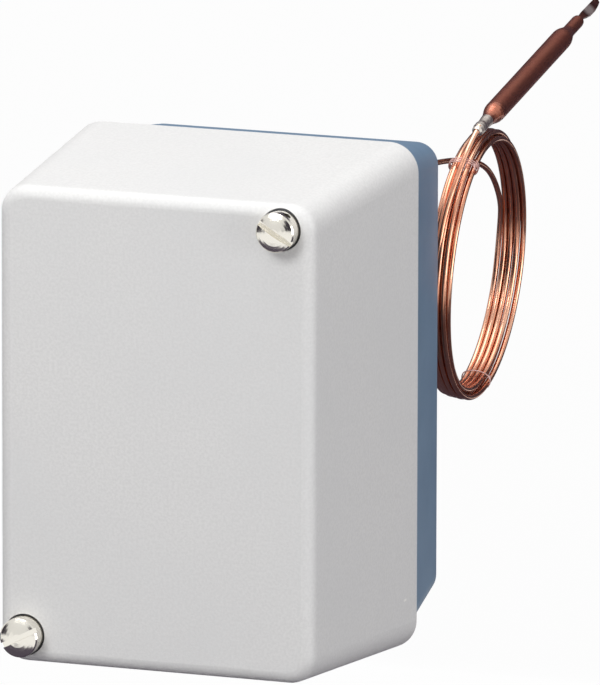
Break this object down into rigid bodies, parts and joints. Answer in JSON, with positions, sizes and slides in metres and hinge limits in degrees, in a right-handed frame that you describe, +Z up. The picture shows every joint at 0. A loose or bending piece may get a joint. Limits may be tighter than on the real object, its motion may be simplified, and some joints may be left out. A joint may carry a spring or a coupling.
{
  "type": "temperature monitor",
  "caption": "Grey and blue wall housing with a set-point mechanism, two sealing screws, a cable gland and a coiled copper capillary that ends in a sensor bulb.",
  "frame": {"origin": "centre of the tray's back face, where it meets the wall", "axes": "+X right seen from the front, +Y back into the wall, +Z up"},
  "size_m": [0.085, 0.2063, 0.1375],
  "materials": {
    "cover_plastic": "satin",
    "tray_plastic": "satin",
    "seal_rubber": "matte",
    "black_rubber": "matte",
    "nickel": "polished",
    "brass": "satin",
    "zinc": "satin",
    "capsule_steel": "satin",
    "dial_plastic": "gloss",
    "switch_plastic": "matte",
    "plunger_plastic": "matte",
    "lead_plastic": "gloss",
    "block_plastic": "matte",
    "gland_plastic": "matte",
    "copper": "satin",
    "bulb_copper": "satin",
    "solder": "satin",
    "tie_wire": "satin"
  },
  "bodies": {
    "housing": {"base_tray": "tray_plastic", "cover_seal": "seal_rubber", "screw_inserts": "brass", "capillary_bush": "black_rubber", "mechanism_frame": "zinc", "frame_screws": "zinc", "pressure_capsule": "capsule_steel", "capsule_nut": "zinc", "lever_pivot": "capsule_steel", "pivot_clip": "capsule_steel", "frame_bridge": "zinc", "spindle_bush": "brass", "stop_pin": "capsule_steel", "switch_case": "switch_plastic", "switch_tabs": "brass", "switch_screws": "zinc", "switch_nuts": "zinc", "switch_leads": "lead_plastic", "lead_receptacles": "brass", "terminal_block": "block_plastic", "terminal_clamps": "nickel", "terminal_screws": "zinc", "block_screws": "zinc", "earth_screw": "brass", "earth_washer": "brass", "gland_body": "gland_plastic", "gland_nut": "gland_plastic", "gland_seal": "black_rubber", "gland_locknut": "gland_plastic", "capillary_inner": "copper", "capillary_lead": "copper", "capillary_coil": "copper", "capillary_end": "copper", "coil_tie_upper": "tie_wire", "coil_tie_lower": "tie_wire", "bulb_solder": "solder", "sensor_bulb": "bulb_copper", "filling_tube": "copper"},
    "cover_group": {"cover": "cover_plastic", "cover_screw_upper": "nickel", "cover_screw_lower": "nickel", "screw_washers": "seal_rubber"},
    "lever_group": {"trip_lever": "zinc", "trip_screw": "brass", "range_spring": "capsule_steel"},
    "setpoint_group": {"setpoint_spindle": "brass", "setpoint_dial": "dial_plastic", "dial_screw": "zinc"},
    "spring_nut_body": {"spring_nut": "zinc"},
    "plunger_body": {"switch_plunger": "plunger_plastic"},
    "pressure_pin_body": {"pressure_pin": "capsule_steel"}
  },
  "joints": [
    {"name": "cover_slide", "type": "slide", "parent": "housing", "child": "cover_group", "axis": [0, -1, 0], "range_m": [0, 0.11]},
    {"name": "lever_hinge", "type": "hinge", "parent": "housing", "child": "lever_group", "pos_m": [0, -0.0215, -0.008], "axis": [1, 0, 0], "range_deg": [0, 1.5], "stiffness_Nm_per_rad": 1, "springref_deg": -1.72},
    {"name": "setpoint_hinge", "type": "hinge", "parent": "housing", "child": "setpoint_group", "pos_m": [0, -0.05, 0.01], "axis": [0, 1, 0], "range_deg": [-135, 135]},
    {"name": "spring_nut_slide", "type": "slide", "parent": "housing", "child": "spring_nut_body", "axis": [0, -1, 0], "range_m": [-0.0003, 0.0003]},
    {"name": "plunger_slide", "type": "slide", "parent": "housing", "child": "plunger_body", "axis": [0, -1, 0], "range_m": [0, 0.001]},
    {"name": "pressure_pin_slide", "type": "slide", "parent": "housing", "child": "pressure_pin_body", "axis": [0, -1, 0], "range_m": [0, 0.00048]}
  ],
  "couplings": [
    {"joint": "plunger_slide", "follows": "lever_hinge", "m_per_rad": 0.038},
    {"joint": "pressure_pin_slide", "follows": "lever_hinge", "m_per_rad": 0.018},
    {"joint": "setpoint_hinge", "follows": "spring_nut_slide", "rad_per_m": 7854}
  ]
}
